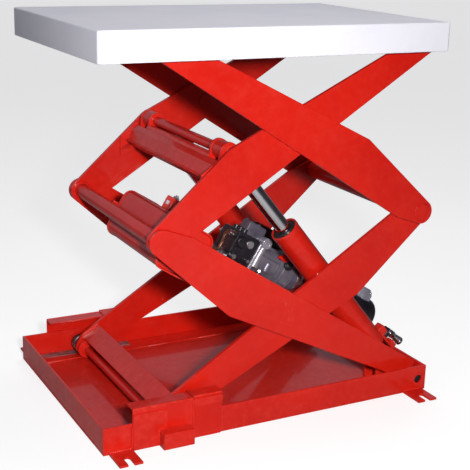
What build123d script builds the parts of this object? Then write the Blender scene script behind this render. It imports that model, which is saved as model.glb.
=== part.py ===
"""Two-stage hydraulic scissor lift table, modelled part-way up its travel.

Millimetres, +Z up.  The origin is the centre of the base's footprint on the floor.
The fixed (pinned) end is at +X and the rolling end at -X; the power unit sits inside.

Each leg is drawn in its own leg frame: s runs from the knuckle to the far pivot,
n is square to it in the XZ plane.  A leg's bulge is on one side of that line.
"""
from build123d import *
from collections import namedtuple
from math import cos, hypot, radians, sin
import os

# ---- driving dimensions -------------------------------------------------------
PLATFORM_LENGTH = 914.0          # 36 in nominal
PLATFORM_WIDTH = 606.0           # 24 in nominal, measured a little under
SKIRT_HEIGHT = 70.0
SKIRT_THICK = 5.0
DECK_THICK = 6.0

BASE_LENGTH = 914.0
BASE_HALF_WIDTH = 314.0
RAIL_HEIGHT = 68.0
RAIL_THICK = 6.0
FLANGE_WIDTH = 60.0
PAN_THICK = 4.0

LEG_PIVOTS = 858.0               # knuckle to far pivot
LEG_THICK = 10.0
LIFT_ANGLE = 31.7                # leg angle above horizontal as modelled
PIVOT_X = 433.0                  # pinned end, base and platform
PIVOT_Z = 32.0
OUTER_Y = 272.0                  # mid-plane of the outer leg plates
INNER_Y = 259.0                  # mid-plane of the inner leg plates

KNUCKLE_R = 31.0                 # rounded knuckle end
PINNED_END_R = 17.0              # rounded far end of a pinned leg
ROLLER_END_R = 24.0              # rounded far end of a rolling leg
BEND_AT = 258.0                  # where the bulge is deepest
BULGE = 79.0                     # deepest bulge below the pivot line
STRAIGHT_EDGE = 45.0             # straight edge above the pivot line, knuckle end
STRAIGHT_EDGE_FAR = 37.0         # the same at the far end

ROLLER_R = 23.9
TRACK_THICK = 2.0
RUN = 0.05                       # radial clearance of a running fit
GAP = 0.4                        # side gap between parts that turn past each other

KNUCKLE_TUBE_R = 19.0
RIGHT_TUBE_R = 25.0
RIGHT_JOURNAL_R = 22.7
CENTRE_PIN_R = 16.0
PIVOT_PIN_R = 9.0
PIVOT_BUSH_WALL = 3.0
ACCESS_HOLE_R = 11.0             # hole in the rail that the base pin goes in by
AXLE_R = 12.0
BUSH_WALL = 5.0

CYL_Y = 210.0                    # each cylinder's distance from the centre plane
BARREL_R = 36.0
ROD_R = 19.0
CYL_BASE = (394.0, 54.0)         # x, z of the cylinder's base pin
ROD_EYE_S, ROD_EYE_N = 258.0, 64.0   # rod pin, in the upper inner leg's frame
ROD_PIN_R = 12.5
EYE_R = 22.0
EYE_HALF = 18.0                  # half thickness of an eye along Y
EAR_THICK = 10.0
EAR_OFFSET = 26.0                # an ear's mid-plane from its eye's
PORT_LUG_WIDTH = 30.0
PORT_LUG_BACK = 25.0             # the lug starts this far before the barrel's closed end
PORT_LUG_RISE = 14.0             # above the barrel's skin
PORT_UNION_R = 10.0
PORT_UNION_LENGTH = 58.0
PORT_UNION_TILT = 10.0           # the union's far end is tilted up

UNIT_Y = -85.0                   # power unit's axis
UNIT_N = 72.0                    # above the lower outer leg's pivot line
MOTOR_R = 52.0
BELL_S = 330.0                   # bell housing and motor start here along the leg
MOTOR_S = 430.0
FAN_COVER_S = 676.0              # the motor's shell ends and its fan cover starts
UNIT_END_S = 782.0
MANIFOLD_S = 260.0
TANK_S0, TANK_S1 = 22.0, 140.0   # oil tank along the leg, and square to it
TANK_N0, TANK_N1 = -56.0, 70.0
TANK_WALL = 3.0

# ---- positions worked out from them ---------------------------------------------
THETA = radians(LIFT_ANGLE)
STAGE_RISE = LEG_PIVOTS * sin(THETA)
REACH = LEG_PIVOTS * cos(THETA)
RIGHT_BASE = (PIVOT_X, PIVOT_Z)
LEFT_BASE = (PIVOT_X - REACH, PIVOT_Z)
LEFT_KNUCKLE = (PIVOT_X - REACH, PIVOT_Z + STAGE_RISE)
RIGHT_KNUCKLE = (PIVOT_X, PIVOT_Z + STAGE_RISE)
TOP_Z = PIVOT_Z + 2 * STAGE_RISE
RIGHT_TOP = (PIVOT_X, TOP_Z)
LEFT_TOP = (PIVOT_X - REACH, TOP_Z)
TOP_TRACK_THICK = 3.0
DECK_UNDER = TOP_Z + 24.0 + TOP_TRACK_THICK
DECK_TOP = DECK_UNDER + DECK_THICK

OUTER_IN = OUTER_Y - LEG_THICK / 2
OUTER_OUT = OUTER_Y + LEG_THICK / 2
INNER_IN = INNER_Y - LEG_THICK / 2
INNER_OUT = INNER_Y + LEG_THICK / 2
WEB_IN = BASE_HALF_WIDTH - RAIL_THICK
HALF_BASE = BASE_LENGTH / 2
HALF_TABLE = PLATFORM_LENGTH / 2
HALF_WIDTH = PLATFORM_WIDTH / 2

Leg = namedtuple("Leg", "knuckle angle bulge")
LOWER_OUTER = Leg(LEFT_KNUCKLE, -LIFT_ANGLE, -1)
LOWER_INNER = Leg(RIGHT_KNUCKLE, 180 + LIFT_ANGLE, 1)
UPPER_INNER = Leg(LEFT_KNUCKLE, LIFT_ANGLE, 1)
UPPER_OUTER = Leg(RIGHT_KNUCKLE, 180 - LIFT_ANGLE, -1)


# ---- helpers ----------------------------------------------------------------------
def leg_plane(leg, y=0.0):
    """Plane of a leg at height y: local X is s, local Y is n, local Z is -Y."""
    a = radians(leg.angle)
    return Plane(origin=(leg.knuckle[0], y, leg.knuckle[1]), x_dir=(cos(a), 0, sin(a)), z_dir=(0, -1, 0))


def leg_point(leg, s, n):
    """x and z of a point given in a leg's frame."""
    a = radians(leg.angle)
    return (leg.knuckle[0] + s * cos(a) - n * sin(a), leg.knuckle[1] + s * sin(a) + n * cos(a))


def block(x0, x1, y0, y1, z0, z1):
    """Box between two corners."""
    return Pos((x0 + x1) / 2, (y0 + y1) / 2, (z0 + z1) / 2) * Box(abs(x1 - x0), abs(y1 - y0), abs(z1 - z0))


def leg_block(leg, s0, s1, n0, n1, y0, y1):
    """Box between two corners given in a leg's frame."""
    centre = Pos((s0 + s1) / 2, (n0 + n1) / 2, -(y0 + y1) / 2)
    return leg_plane(leg).location * centre * Box(abs(s1 - s0), abs(n1 - n0), abs(y1 - y0))


def bar(at, r, y0, y1):
    """Round bar along Y."""
    return Pos(at[0], (y0 + y1) / 2, at[1]) * Rot(90, 0, 0) * Cylinder(r, abs(y1 - y0))


def ring(at, r_out, r_in, y0, y1):
    """Tube or bush along Y."""
    return bar(at, r_out, y0, y1) - bar(at, r_in, y0 - 1, y1 + 1)


def leg_bar(leg, s0, s1, n, y, r):
    """Round bar along a leg's own direction."""
    centre = Pos((s0 + s1) / 2, n, -y)
    return leg_plane(leg).location * centre * Rot(0, 90, 0) * Cylinder(r, abs(s1 - s0))


def both_sides(shape):
    """The shape and its twin across the centre plane, as separate solids."""
    return [shape, mirror(shape, about=Plane.XZ)]


def write(name, *solids):
    """Write one node; several solids stay separate."""
    flat = []
    for item in solids:
        flat.extend(item if isinstance(item, (list, tuple)) else [item])
    shape = flat[0] if len(flat) == 1 else Compound(children=flat)
    export_step(shape, f"parts/{name}.step")


# ---- scissor legs --------------------------------------------------------------------
def leg_outline(bulge, end_r):
    """The hull of five rounded corners."""
    bend_r, edge_r = 25.0, 8.0
    corners = [
        (0, 0, KNUCKLE_R),
        (BEND_AT, BULGE - bend_r, bend_r),
        (LEG_PIVOTS, 0, end_r),
        (66, edge_r - STRAIGHT_EDGE, edge_r),
        (LEG_PIVOTS - 22, edge_r - STRAIGHT_EDGE_FAR, edge_r),
    ]
    return make_hull([CenterArc((s, bulge * n), r, 0, 360).edge() for s, n, r in corners])


def leg_plate(leg, y, end_r, bores):
    """One leg plate at y with round holes: bores is a list of (s, radius)."""
    plate = extrude(leg_plane(leg, y) * leg_outline(leg.bulge, end_r), LEG_THICK / 2, both=True)
    for s, r in bores:
        plate -= bar(leg_point(leg, s, 0), r, y - LEG_THICK, y + LEG_THICK)
    return plate


def make_legs():
    """Four pairs of plates; the outer plates are blind where a cross tube is welded to them."""
    knuckle_bore = (0, KNUCKLE_TUBE_R + BUSH_WALL)
    journal_bore = (0, RIGHT_JOURNAL_R + 0.3)
    centre_bore = (LEG_PIVOTS / 2, CENTRE_PIN_R + BUSH_WALL)
    pinned_bore = (LEG_PIVOTS, PIVOT_PIN_R + PIVOT_BUSH_WALL)
    axle_bore = (LEG_PIVOTS, AXLE_R)
    sets = {
        "lower_outer_leg": (LOWER_OUTER, OUTER_Y, PINNED_END_R, [pinned_bore]),
        "lower_inner_leg": (LOWER_INNER, INNER_Y, ROLLER_END_R, [centre_bore, axle_bore]),
        "upper_inner_leg": (UPPER_INNER, INNER_Y, PINNED_END_R, [knuckle_bore, centre_bore, pinned_bore]),
        "upper_outer_leg": (UPPER_OUTER, OUTER_Y, ROLLER_END_R, [journal_bore]),
    }
    for name, (leg, y, end_r, bores) in sets.items():
        write(f"{name}_front", leg_plate(leg, -y, end_r, bores))
        write(f"{name}_rear", leg_plate(leg, y, end_r, bores))


def bush_pair(at, shaft_r, wall, y):
    """Two bushes pressed in the leg plates at +y and -y, turning on a shaft."""
    return both_sides(ring(at, shaft_r + wall, shaft_r + RUN, y - LEG_THICK / 2, y + LEG_THICK / 2))


def make_knuckles_and_pins():
    lower_centre = leg_point(LOWER_OUTER, LEG_PIVOTS / 2, 0)
    upper_centre = leg_point(UPPER_INNER, LEG_PIVOTS / 2, 0)

    wall = 6.0
    write("left_knuckle_tube", ring(LEFT_KNUCKLE, KNUCKLE_TUBE_R, KNUCKLE_TUBE_R - wall, -OUTER_IN, OUTER_IN))
    write("lower_centre_tube", ring(lower_centre, CENTRE_PIN_R, CENTRE_PIN_R - 5, -OUTER_IN, OUTER_IN))
    journals = both_sides(bar(RIGHT_KNUCKLE, RIGHT_JOURNAL_R, INNER_OUT, OUTER_OUT))
    tube = bar(RIGHT_KNUCKLE, RIGHT_TUBE_R, -INNER_IN, INNER_IN)
    write("right_knuckle_tube", tube, journals)

    write("base_pivot_bushes", bush_pair(RIGHT_BASE, PIVOT_PIN_R, PIVOT_BUSH_WALL, OUTER_Y))
    write("lower_centre_bushes", bush_pair(lower_centre, CENTRE_PIN_R, BUSH_WALL, INNER_Y))
    write("upper_inner_bushes", bush_pair(LEFT_KNUCKLE, KNUCKLE_TUBE_R, BUSH_WALL, INNER_Y),
          bush_pair(upper_centre, CENTRE_PIN_R, BUSH_WALL, INNER_Y),
          bush_pair(RIGHT_TOP, PIVOT_PIN_R, PIVOT_BUSH_WALL, INNER_Y))

    # stub pins of the upper centre: through the inner leg, with a retaining head behind it
    head_in = INNER_IN - 5
    pin = bar(upper_centre, CENTRE_PIN_R, head_in, OUTER_IN)
    pin += bar(upper_centre, CENTRE_PIN_R + 4, head_in, INNER_IN - GAP)
    write("upper_centre_pins", both_sides(pin))


# ---- rollers ---------------------------------------------------------------------------
def roller(at, y0, y1):
    """Steel roller with chamfered rims, bored for its axle."""
    wheel = chamfer(bar(at, ROLLER_R, y0, y1).edges().filter_by(GeomType.CIRCLE), 1.5)
    return wheel - bar(at, AXLE_R + RUN, y0 - 1, y1 + 1)


def make_rollers():
    base_y0, base_y1 = 280.0, 300.0
    top_y0, top_y1 = OUTER_OUT + 1.5, 293.5
    for side, sign in (("front", -1), ("rear", 1)):
        ends = sorted((sign * base_y0, sign * base_y1))
        write(f"base_roller_{side}", roller(LEFT_BASE, *ends))
        ends = sorted((sign * top_y0, sign * top_y1))
        write(f"top_roller_{side}", roller(LEFT_TOP, *ends))

    # lower axle: one shaft through both inner legs, slimmer between them
    axle = bar(LEFT_BASE, 10, -INNER_IN, INNER_IN)
    for sign in (-1, 1):
        axle += bar(LEFT_BASE, AXLE_R, sign * INNER_IN, sign * (base_y1 + 3.5))
        axle += bar(LEFT_BASE, AXLE_R + 4, sign * (INNER_OUT + 0.01), sign * (base_y0 - GAP))
    keepers = both_sides(ring(LEFT_BASE, AXLE_R + 6, AXLE_R, base_y1 + GAP, base_y1 + 3))
    write("lower_roller_axle", axle, keepers)

    stub = bar(LEFT_TOP, AXLE_R, OUTER_OUT, top_y1 + 3.2)
    stub += bar(LEFT_TOP, AXLE_R + 4, OUTER_OUT, top_y0 - GAP)
    keepers = both_sides(ring(LEFT_TOP, AXLE_R + 6, AXLE_R, top_y1 + GAP, top_y1 + 3))
    write("top_roller_stubs", both_sides(stub), keepers)


# ---- base --------------------------------------------------------------------------------
def make_base_frame():
    web = block(-HALF_BASE, HALF_BASE, -BASE_HALF_WIDTH, -WEB_IN, 0, RAIL_HEIGHT)
    flange = block(-HALF_BASE, HALF_BASE, -WEB_IN, FLANGE_WIDTH - WEB_IN, 0, RAIL_THICK)
    rail = web + flange - bar(RIGHT_BASE, ACCESS_HOLE_R, -BASE_HALF_WIDTH - 1, -WEB_IN + 1)
    write("base_rail_front", rail)
    write("base_rail_rear", mirror(rail, about=Plane.XZ))

    end_in = HALF_BASE - RAIL_THICK
    write("end_plate_left", block(-HALF_BASE, -end_in, -WEB_IN, WEB_IN, RAIL_THICK, RAIL_HEIGHT))
    write("end_plate_right", block(end_in, HALF_BASE, -WEB_IN, WEB_IN, RAIL_THICK, RAIL_HEIGHT))

    pan_y = WEB_IN - FLANGE_WIDTH
    write("floor_pan", block(-HALF_BASE, HALF_BASE, -pan_y, pan_y, 0, PAN_THICK))
    strip = block(-445, -150, OUTER_OUT, WEB_IN - 3, RAIL_THICK, RAIL_THICK + TRACK_THICK)
    write("roller_track_strips", both_sides(strip))


def make_anchor_tabs():
    """Four floor tabs, each with a U notch open outwards for an anchor bolt."""
    width, reach, thick, notch_w, notch_l = 58.0, 70.0, 6.0, 15.0, 36.0
    tabs = []
    for x in (-415.0, 415.0):
        tip = -BASE_HALF_WIDTH - reach
        plate = block(x - width / 2, x + width / 2, tip, -BASE_HALF_WIDTH, 0, thick)
        plate -= block(x - notch_w / 2, x + notch_w / 2, tip - 1, tip + notch_l - notch_w / 2, -1, thick + 1)
        plate -= Pos(x, tip + notch_l - notch_w / 2, thick / 2) * Cylinder(notch_w / 2, thick + 2)
        tabs.extend(both_sides(plate))
    write("anchor_tabs", tabs)


def make_roller_guards():
    """Inverted L covers that keep the base rollers down on their tracks."""
    sheet, low = 4.0, 2.0
    lip_y = -(OUTER_OUT + 3)

    def cover(x0, x1, height, face_y, lip_in):
        face = block(x0, x1, face_y - sheet, face_y, low, height)
        return face + block(x0, x1, face_y, lip_in, height - sheet, height)

    long_cover = cover(-386, -231, 106, -BASE_HALF_WIDTH, lip_y)
    long_cover += block(-385, -300, -BASE_HALF_WIDTH - sheet - 3, -BASE_HALF_WIDTH - sheet, low, 92)
    short_cover = cover(-230.6, -155, 110, -BASE_HALF_WIDTH - 0.01, lip_y)
    short_cover += block(-230.6, -155, -BASE_HALF_WIDTH - sheet - 4, -BASE_HALF_WIDTH - sheet, 84, 104)
    write("roller_guard_front", long_cover, short_cover)
    write("roller_guard_rear", mirror(long_cover, about=Plane.XZ), mirror(short_cover, about=Plane.XZ))

    stub_out = -BASE_HALF_WIDTH - sheet - 3
    stub = block(-320, -241, stub_out - 29, stub_out, 2, 42)
    stub -= block(-317, -244, stub_out - 25, stub_out - 4, 5, 39)
    write("front_stub_tube", stub)


def make_base_pivots():
    """Right-hand brackets, pivot pins and the plain clevis ears for the cylinders."""
    y_out = OUTER_IN - 3.5
    y_in = y_out - 10
    end_in = HALF_BASE - RAIL_THICK
    bracket = block(408, end_in, y_in, y_out, PAN_THICK + 2, 62)
    bracket -= bar(RIGHT_BASE, PIVOT_PIN_R, y_in - 1, y_out + 1)
    write("base_pivot_brackets", both_sides(bracket))
    pin = bar(RIGHT_BASE, PIVOT_PIN_R, y_in - 4, BASE_HALF_WIDTH - 3)
    pin += bar(RIGHT_BASE, PIVOT_PIN_R + 7, OUTER_OUT + GAP, WEB_IN)
    write("base_pivot_pins", both_sides(pin))

    ears = []
    for y in (CYL_Y - EAR_OFFSET, CYL_Y + EAR_OFFSET):
        ear = block(CYL_BASE[0] - 44, CYL_BASE[0] + 30, y - 5, y + 5, PAN_THICK, CYL_BASE[1])
        ear += bar(CYL_BASE, 24, y - 5, y + 5)
        ears.extend(both_sides(ear))
    write("cylinder_base_ears", ears)


# ---- hydraulic cylinders -------------------------------------------------------------------
def cylinder_frame():
    """Location at the rod pin with +Z towards the base pin, and the pin-to-pin length."""
    top = leg_point(UPPER_INNER, ROD_EYE_S, ROD_EYE_N)
    dx, dz = CYL_BASE[0] - top[0], CYL_BASE[1] - top[1]
    length = hypot(dx, dz)
    frame = Plane(origin=(top[0], -CYL_Y, top[1]), x_dir=(0, 1, 0), z_dir=(dx, 0, dz)).location
    return frame, length, top


def turned(frame, z0, z1, r):
    """Round bar along the cylinder's axis."""
    return frame * Pos(0, 0, (z0 + z1) / 2) * Cylinder(r, z1 - z0)


def make_cylinders():
    frame, length, top = cylinder_frame()
    barrel_top, barrel_end = 276.0, length - 72.0
    rod_end = barrel_top + 170.0
    bore_r = 31.75
    wall_end = 12.0

    eye = bar(top, EYE_R, -CYL_Y - EYE_HALF, -CYL_Y + EYE_HALF)
    rod = turned(frame, 26, rod_end, ROD_R) + eye + frame * Pos(0, 0, 20) * Box(2 * EYE_HALF, 34, 28)
    rod -= bar(top, ROD_PIN_R + RUN, -CYL_Y - 30, -CYL_Y + 30)
    write("cylinder_rods", both_sides(rod))
    piston = turned(frame, rod_end, rod_end + 30, bore_r - 0.1)
    write("rod_pistons", both_sides(piston))

    gland_end = barrel_top + 26
    gland = turned(frame, barrel_top, gland_end, bore_r)
    gland -= turned(frame, barrel_top - 1, gland_end + 1, ROD_R + RUN)
    write("cylinder_glands", both_sides(gland))

    barrel = turned(frame, barrel_top, barrel_end, BARREL_R)
    barrel -= turned(frame, barrel_top - 1, barrel_end - wall_end, bore_r)
    shank = frame * Pos(0, 0, (barrel_end + length) / 2) * Box(2 * EYE_HALF, 40, length - barrel_end)
    foot = bar(CYL_BASE, 20, -CYL_Y - EYE_HALF, -CYL_Y + EYE_HALF)
    write("cylinder_barrels", both_sides(barrel + shank + foot))

    # feed port on the upper side of the closed end: a long lug with a steel union lying over it
    lug_start, lug_end = barrel_end - PORT_LUG_BACK, length + 3
    lug_low, lug_high = BARREL_R - 4, BARREL_R + PORT_LUG_RISE
    lug_size = Box(PORT_LUG_WIDTH, lug_high - lug_low, lug_end - lug_start)
    lug = frame * Pos(0, (lug_low + lug_high) / 2, (lug_start + lug_end) / 2) * lug_size
    lug -= turned(frame, barrel_top, barrel_end + 0.01, BARREL_R)
    union_mid = (lug_start + lug_end) / 2 + 12
    body = Cylinder(PORT_UNION_R, PORT_UNION_LENGTH)
    union = frame * Pos(0, lug_high + 11, union_mid) * Rot(-PORT_UNION_TILT, 0, 0) * body
    union += frame * Pos(0, lug_high + 4, union_mid - 8) * Rot(90, 0, 0) * Cylinder(8, 12)
    write("cylinder_ports", both_sides(lug), both_sides(union))


# ---- lift beam between the upper inner legs ---------------------------------------------------
def make_lift_beam():
    """Folded hollow beam that the two rods push on, with its ears and the rod pin."""
    section = [(226, 66), (196, 62), (174, 50), (174, 22), (198, 12), (226, 26)]
    plane = leg_plane(UPPER_INNER)
    outer = fillet(make_face(Polyline(*section, close=True)).vertices(), 6)
    inner = offset(outer, -6)
    half = INNER_IN
    beam = extrude(plane * outer, half, both=True) - extrude(plane * inner, half - 6, both=True)
    write("lift_beam", beam)

    eye = (ROD_EYE_S, ROD_EYE_N)
    corners = [CenterArc(eye, 24, 0, 360).edge(), CenterArc((228, 30), 2, 0, 360).edge(),
               CenterArc((228, 62), 2, 0, 360).edge()]
    profile = plane * make_hull(corners)
    ears = []
    for y in (CYL_Y - EAR_OFFSET, CYL_Y + EAR_OFFSET):
        ear = Pos(0, y, 0) * extrude(profile, EAR_THICK / 2, both=True)
        ear -= extrude(plane * outer, half, both=True)
        ear -= bar(leg_point(UPPER_INNER, *eye), ROD_PIN_R, y - 10, y + 10)
        ears.extend(both_sides(ear))
    write("rod_ears", ears)
    write("rod_pin_shaft", bar(leg_point(UPPER_INNER, *eye), ROD_PIN_R, -CYL_Y - 36, CYL_Y + 36))


# ---- cross members of the lower inner legs ---------------------------------------------------
def make_roller_end_plate():
    """Folded plate across the rolling ends of the lower inner legs."""
    top = leg_block(LOWER_INNER, 790, 846, -28, -22, -INNER_IN, INNER_IN)
    lip = leg_block(LOWER_INNER, 790, 796, -22, 18, -INNER_IN, INNER_IN)
    write("roller_end_plate", top + lip)


# ---- power unit on the lower outer legs ---------------------------------------------------------
def make_cradle():
    """Two side flats on the knuckle and centre tubes, a mounting plate and the pump's foot."""
    centre = LEG_PIVOTS / 2
    lower_centre = leg_point(LOWER_OUTER, centre, 0)
    flats = []
    for y0, y1 in ((-253.4, -247), (76, 82)):
        flat = leg_block(LOWER_OUTER, 12, centre + 26, -24, 24, y0, y1)
        flat -= bar(LEFT_KNUCKLE, KNUCKLE_TUBE_R, y0 - 1, y1 + 1)
        flat -= bar(lower_centre, CENTRE_PIN_R, y0 - 1, y1 + 1)
        flats.append(flat)
    plate = leg_block(LOWER_OUTER, 146, centre - CENTRE_PIN_R - 2, -24, -18, -247, 76)
    foot = leg_block(LOWER_OUTER, BELL_S + 4, BELL_S + 50, -18, UNIT_N - 30, UNIT_Y - 30, UNIT_Y + 30)
    foot -= leg_bar(LOWER_OUTER, BELL_S - 2, MOTOR_S, UNIT_N, UNIT_Y, 50)
    write("power_unit_cradle", flats[0], flats[1], plate, foot)


def make_tank():
    """Welded oil tank of rounded rectangular section, hollow, with its breather and valve coil."""
    y0, y1 = -245, 70
    plane = leg_plane(LOWER_OUTER)
    middle = Pos((TANK_S0 + TANK_S1) / 2, (TANK_N0 + TANK_N1) / 2, 0)
    width, height = TANK_S1 - TANK_S0, TANK_N1 - TANK_N0
    hollow = RectangleRounded(width - 2 * TANK_WALL, height - 2 * TANK_WALL, 21)
    outer = extrude(plane * middle * RectangleRounded(width, height, 24), amount=y1 - y0)
    inner = extrude(plane * middle * hollow, amount=y1 - y0 - 2 * TANK_WALL)
    write("oil_tank", Pos(0, y1, 0) * outer - Pos(0, y1 - TANK_WALL, 0) * inner)

    at = plane.location
    breather_s, breather_y = 62, -175
    neck = at * Pos(breather_s, TANK_N1 + 6, -breather_y) * Rot(90, 0, 0) * Cylinder(11, 12)
    cap = at * Pos(breather_s, TANK_N1 + 18, -breather_y) * Rot(90, 0, 0) * Cylinder(17, 12)
    write("tank_breather", neck + cap)
    coil = leg_block(LOWER_OUTER, 78, 112, TANK_N1, TANK_N1 + 34, -74, -34)
    write("valve_coil", fillet(coil.edges(), 3))
    write("coil_connector", leg_block(LOWER_OUTER, 113, 133, TANK_N1, TANK_N1 + 40, -66, -42))


def make_pump_and_motor():
    y = UNIT_Y
    at = leg_plane(LOWER_OUTER).location
    manifold = leg_block(LOWER_OUTER, MANIFOLD_S, BELL_S, UNIT_N - 44, UNIT_N + 42, y - 44, y + 40)
    write("pump_manifold", chamfer(manifold.edges(), 2))

    # bell housing: flange, cone down to the motor, and a boss that stands beside the flange
    flange_thick, flange_r = 14, 50
    bell = leg_bar(LOWER_OUTER, BELL_S, BELL_S + flange_thick, UNIT_N, y, flange_r)
    cone_length = MOTOR_S - BELL_S - flange_thick
    bell += at * Pos(MOTOR_S - cone_length / 2, UNIT_N, -y) * Rot(0, 90, 0) * Cone(48, 40, cone_length)
    bell += at * Pos(BELL_S + 16, UNIT_N + 24, 45 - y) * Rot(90, 0, 0) * Cylinder(14, 48)
    write("bell_housing", bell)

    write("drive_motor", leg_bar(LOWER_OUTER, MOTOR_S, FAN_COVER_S, UNIT_N, y, MOTOR_R))
    cover = leg_bar(LOWER_OUTER, FAN_COVER_S, UNIT_END_S, UNIT_N, y, MOTOR_R)
    write("motor_end_cap", fillet(cover.edges().sort_by(Axis.X)[-1:], 10))
    box_low, box_high = UNIT_N + MOTOR_R - 26, UNIT_N + MOTOR_R + 24
    box = leg_block(LOWER_OUTER, 704, 751.9, box_low, box_high, y - 26, y + 26)
    box -= leg_bar(LOWER_OUTER, MOTOR_S, UNIT_END_S, UNIT_N, y, MOTOR_R)
    write("conduit_box", box)

    # suction pipe from the tank and two pressure fittings on the manifold's rear side
    fittings = [leg_bar(LOWER_OUTER, TANK_S1, MANIFOLD_S, UNIT_N - 32, y - 20, 11)]
    for s, n in ((MANIFOLD_S + 18, UNIT_N + 20), (MANIFOLD_S + 50, UNIT_N - 8)):
        fittings.append(at * Pos(s, n, -(y + 40 + 14)) * Cylinder(9, 28))
    write("hydraulic_fittings", fittings)


# ---- platform ------------------------------------------------------------------------------------
def make_platform():
    write("platform_deck", block(-HALF_TABLE, HALF_TABLE, -HALF_WIDTH, HALF_WIDTH, DECK_UNDER, DECK_TOP))
    low = DECK_TOP - SKIRT_HEIGHT
    side = block(-HALF_TABLE, HALF_TABLE, -HALF_WIDTH, SKIRT_THICK - HALF_WIDTH, low, DECK_UNDER)
    inside = HALF_WIDTH - SKIRT_THICK
    starts = (-HALF_TABLE, HALF_TABLE - SKIRT_THICK)
    ends = [block(x, x + SKIRT_THICK, -inside, inside, low, DECK_UNDER) for x in starts]
    write("platform_skirt", both_sides(side), ends)
    ribs = [block(x - 20, x + 20, -240, 240, DECK_UNDER - 12, DECK_UNDER) for x in (60, 250)]
    write("platform_ribs", ribs)
    track = block(-448, -150, OUTER_OUT, inside - 0.5, DECK_UNDER - TOP_TRACK_THICK, DECK_UNDER)
    write("platform_tracks", both_sides(track))

    ears = []
    for y0, y1 in ((INNER_IN - 14, INNER_IN - 3), (INNER_OUT + 3, INNER_OUT + 14)):
        ear = block(PIVOT_X - 22, PIVOT_X + 14, y0, y1, TOP_Z, DECK_UNDER) + bar(RIGHT_TOP, 14, y0, y1)
        ear += block(PIVOT_X - 22, PIVOT_X, y0, y1, TOP_Z - 14, TOP_Z)
        ear -= bar(RIGHT_TOP, PIVOT_PIN_R, y0 - 1, y1 + 1)
        ears.extend(both_sides(ear))
    write("platform_pivot_ears", ears)
    write("platform_pivot_pins", both_sides(bar(RIGHT_TOP, PIVOT_PIN_R, INNER_IN - 18, INNER_OUT + 18)))


def main():
    os.makedirs("parts", exist_ok=True)
    make_legs()
    make_knuckles_and_pins()
    make_rollers()
    make_base_frame()
    make_anchor_tabs()
    make_roller_guards()
    make_base_pivots()
    make_cylinders()
    make_lift_beam()
    make_roller_end_plate()
    make_cradle()
    make_tank()
    make_pump_and_motor()
    make_platform()
    frame, length, top = cylinder_frame()
    print(f"stage rise {STAGE_RISE:.2f}, deck top {DECK_TOP:.2f}, left knuckle {LEFT_KNUCKLE}")
    print(f"rod pin x {top[0]:.3f} z {top[1]:.3f}, pin to pin {length:.3f}")


if __name__ == "__main__":
    main()
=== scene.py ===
"""Looks of the two-stage scissor lift table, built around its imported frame.

Shapes are written in millimetres and become metres when a piece is made.  Positions come
from the CAD nodes' boxes.  In a leg's frame, s runs from the knuckle to the far pivot and
n is square to it in the XZ plane.
"""

from math import cos, pi, radians, sin, sqrt, tan, tau

import bmesh
import bpy
from mathutils import Matrix, Vector


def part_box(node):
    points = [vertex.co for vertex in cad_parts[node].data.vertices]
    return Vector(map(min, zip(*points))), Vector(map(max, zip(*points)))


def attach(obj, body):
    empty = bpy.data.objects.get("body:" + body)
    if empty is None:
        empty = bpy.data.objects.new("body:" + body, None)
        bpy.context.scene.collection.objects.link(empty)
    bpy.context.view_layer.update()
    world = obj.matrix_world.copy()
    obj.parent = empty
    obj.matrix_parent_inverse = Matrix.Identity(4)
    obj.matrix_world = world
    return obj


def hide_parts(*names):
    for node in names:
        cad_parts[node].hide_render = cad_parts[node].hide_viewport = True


MM = 0.001
SHARP = radians(32)

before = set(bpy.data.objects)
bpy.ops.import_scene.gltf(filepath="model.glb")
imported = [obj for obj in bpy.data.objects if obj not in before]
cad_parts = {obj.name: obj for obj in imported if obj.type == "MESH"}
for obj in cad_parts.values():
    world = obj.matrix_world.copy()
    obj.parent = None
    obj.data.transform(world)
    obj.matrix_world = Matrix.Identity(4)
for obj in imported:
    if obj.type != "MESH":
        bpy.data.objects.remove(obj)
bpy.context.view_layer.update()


# ---- places in the frame ----
def box(node):
    """A CAD node's lowest and highest corners, in millimetres."""
    low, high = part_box(node)
    return low / MM, high / MM


def centre(node):
    low, high = box(node)
    return (low + high) / 2


class Leg:
    """A leg's own frame."""

    def __init__(self, knuckle, pivot):
        self.origin = Vector((knuckle.x, 0, knuckle.z))
        along = Vector((pivot.x, 0, pivot.z)) - self.origin
        self.length = along.length
        self.s = along.normalized()
        self.n = Vector((-self.s.z, 0, self.s.x))

    def at(self, s, n, y):
        return self.origin + s * self.s + n * self.n + Vector((0, y, 0))

    def span(self, node):
        """Lowest and highest s, n and y of a CAD node."""
        points = [v.co / MM - self.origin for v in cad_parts[node].data.vertices]
        rows = [[p.dot(self.s) for p in points], [p.dot(self.n) for p in points], [p.y for p in points]]
        return [(min(row), max(row)) for row in rows]


def axes(origin, z, x):
    """A placing whose local Z and X point along the two directions."""
    z = z.normalized()
    y = z.cross(x).normalized()
    x = y.cross(z)
    return Matrix.Translation(origin) @ Matrix((x, y, z)).transposed().to_4x4()


def moved(x, y, z):
    return Matrix.Translation((x, y, z))


def spun(angle):
    """Turned about local Z."""
    return Matrix.Rotation(angle, 4, "Z")


X, Y, Z = Vector((1, 0, 0)), Vector((0, 1, 0)), Vector((0, 0, 1))
left_knuckle = centre("left_knuckle_tube")
lower_outer = Leg(left_knuckle, centre("base_pivot_pins"))
upper_inner = Leg(left_knuckle, centre("platform_pivot_pins"))


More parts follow.
